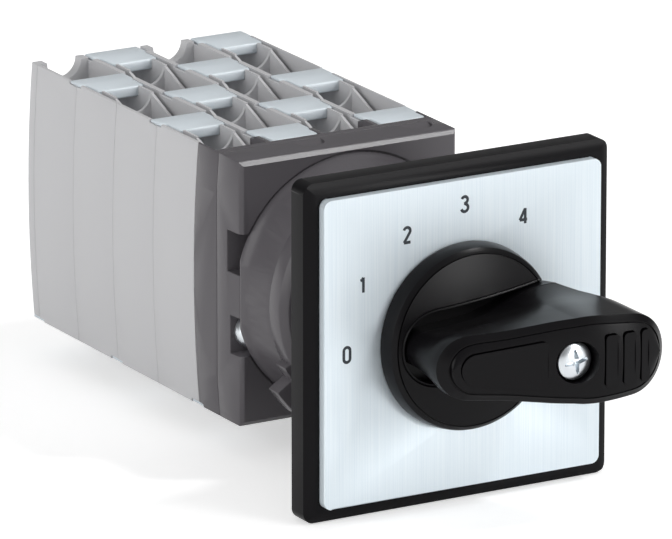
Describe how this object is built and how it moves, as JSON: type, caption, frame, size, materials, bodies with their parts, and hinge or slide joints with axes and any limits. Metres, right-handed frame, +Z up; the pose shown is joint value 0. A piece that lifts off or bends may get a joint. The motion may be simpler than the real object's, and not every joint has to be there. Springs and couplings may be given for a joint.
{
  "type": "cam switch",
  "caption": "Panel-mounted rotary cam switch: square brushed plate, black lever knob, ring-locked base and a stack of grey contact wafers with screw terminals.",
  "frame": {"origin": "on the switch axis, on the rear face of the panel gasket, which rests on the front of the panel", "axes": "+Y along the switch axis into the panel, +Z up, +X to the right seen from the front"},
  "size_m": [0.06, 0.14, 0.06],
  "materials": {
    "brushed_plate": "anodised, vertically brushed, bright bevelled edge",
    "black_plastic": "satin moulded black",
    "knob_plastic": "satin moulded black, fine grain",
    "gasket_rubber": "soft black sealing rubber",
    "dark_plastic": "moulded dark grey, bright chamfered edges",
    "grey_plastic": "moulded light grey",
    "cover_plastic": "moulded bluish white, slightly glossy",
    "white_nylon": "natural nylon",
    "zinc_screw": "bright zinc plated steel",
    "shaft_steel": "cold drawn steel",
    "spring_steel": "spring steel wire and strip",
    "contact_brass": "stamped brass with silver contact rivets",
    "bridge_copper": "stamped copper alloy"
  },
  "bodies": {
    "housing": {"legend_plate": "brushed_plate", "front_frame": "black_plastic", "panel_gasket": "gasket_rubber", "mounting_collar": "black_plastic", "panel_nut": "black_plastic", "base_front": "dark_plastic", "base_rear": "dark_plastic", "detent_springs": "spring_steel", "terminal_screws": "zinc_screw", "end_plate": "grey_plastic", "tie_bolts": "zinc_screw", "tie_nuts": "zinc_screw", "contact_block_1": "grey_plastic", "contact_block_2": "grey_plastic", "contact_block_3": "grey_plastic", "contact_block_4": "grey_plastic", "fixed_contacts_1": "contact_brass", "fixed_contacts_2": "contact_brass", "fixed_contacts_3": "contact_brass", "fixed_contacts_4": "contact_brass", "terminal_covers_0": "cover_plastic", "terminal_covers_1": "cover_plastic", "terminal_covers_2": "cover_plastic", "terminal_covers_3": "cover_plastic", "terminal_covers_4": "cover_plastic", "upper_spring_1": "spring_steel", "upper_spring_2": "spring_steel", "upper_spring_3": "spring_steel", "upper_spring_4": "spring_steel", "lower_spring_1": "spring_steel", "lower_spring_2": "spring_steel", "lower_spring_3": "spring_steel", "lower_spring_4": "spring_steel"},
    "knob": {"knob_disc": "knob_plastic", "lever_grip": "knob_plastic", "grip_screw": "zinc_screw", "drive_shaft": "shaft_steel", "stop_disc": "white_nylon", "detent_wheel": "white_nylon", "cam_1": "white_nylon", "cam_2": "white_nylon", "cam_3": "white_nylon", "cam_4": "white_nylon"},
    "lock": {"locking_ring": "dark_plastic"},
    "upper_contact_1": {"upper_plunger_1": "white_nylon", "upper_bridge_1": "bridge_copper"},
    "lower_contact_1": {"lower_plunger_1": "white_nylon", "lower_bridge_1": "bridge_copper"},
    "upper_contact_2": {"upper_plunger_2": "white_nylon", "upper_bridge_2": "bridge_copper"},
    "lower_contact_2": {"lower_plunger_2": "white_nylon", "lower_bridge_2": "bridge_copper"},
    "upper_contact_3": {"upper_plunger_3": "white_nylon", "upper_bridge_3": "bridge_copper"},
    "lower_contact_3": {"lower_plunger_3": "white_nylon", "lower_bridge_3": "bridge_copper"},
    "upper_contact_4": {"upper_plunger_4": "white_nylon", "upper_bridge_4": "bridge_copper"},
    "lower_contact_4": {"lower_plunger_4": "white_nylon", "lower_bridge_4": "bridge_copper"}
  },
  "joints": [
    {"name": "knob_turn", "type": "hinge", "parent": "housing", "child": "knob", "pos_m": [0, 0, 0], "axis": [0, 1, 0], "range_deg": [0, 120], "deforming": ["detent_springs"]},
    {"name": "lock_turn", "type": "hinge", "parent": "housing", "child": "lock", "pos_m": [0, 0.0184, 0], "axis": [0, -1, 0], "range_deg": [0, 25]},
    {"name": "upper_lift_1", "type": "slide", "parent": "housing", "child": "upper_contact_1", "axis": [0, 0, 1], "range_m": [-0.0012, 0], "deforming": ["upper_spring_1"]},
    {"name": "lower_lift_1", "type": "slide", "parent": "housing", "child": "lower_contact_1", "axis": [0, 0, -1], "range_m": [0, 0.0012], "deforming": ["lower_spring_1"]},
    {"name": "upper_lift_2", "type": "slide", "parent": "housing", "child": "upper_contact_2", "axis": [0, 0, 1], "range_m": [0, 0.0012], "deforming": ["upper_spring_2"]},
    {"name": "lower_lift_2", "type": "slide", "parent": "housing", "child": "lower_contact_2", "axis": [0, 0, -1], "range_m": [-0.0012, 0], "deforming": ["lower_spring_2"]},
    {"name": "upper_lift_3", "type": "slide", "parent": "housing", "child": "upper_contact_3", "axis": [0, 0, 1], "range_m": [-0.0012, 0], "deforming": ["upper_spring_3"]},
    {"name": "lower_lift_3", "type": "slide", "parent": "housing", "child": "lower_contact_3", "axis": [0, 0, -1], "range_m": [0, 0.0012], "deforming": ["lower_spring_3"]},
    {"name": "upper_lift_4", "type": "slide", "parent": "housing", "child": "upper_contact_4", "axis": [0, 0, 1], "range_m": [0, 0.0012], "deforming": ["upper_spring_4"]},
    {"name": "lower_lift_4", "type": "slide", "parent": "housing", "child": "lower_contact_4", "axis": [0, 0, -1], "range_m": [-0.0012, 0], "deforming": ["lower_spring_4"]}
  ],
  "couplings": [
    {"joint": "upper_lift_1", "follows": "knob_turn", "m_per_rad": -0.00057248},
    {"joint": "lower_lift_1", "follows": "knob_turn", "m_per_rad": 0.00057248},
    {"joint": "upper_lift_2", "follows": "knob_turn", "m_per_rad": 0.00057248},
    {"joint": "lower_lift_2", "follows": "knob_turn", "m_per_rad": -0.00057248},
    {"joint": "upper_lift_3", "follows": "knob_turn", "m_per_rad": -0.00057248},
    {"joint": "lower_lift_3", "follows": "knob_turn", "m_per_rad": 0.00057248},
    {"joint": "upper_lift_4", "follows": "knob_turn", "m_per_rad": 0.00057248},
    {"joint": "lower_lift_4", "follows": "knob_turn", "m_per_rad": -0.00057248}
  ]
}
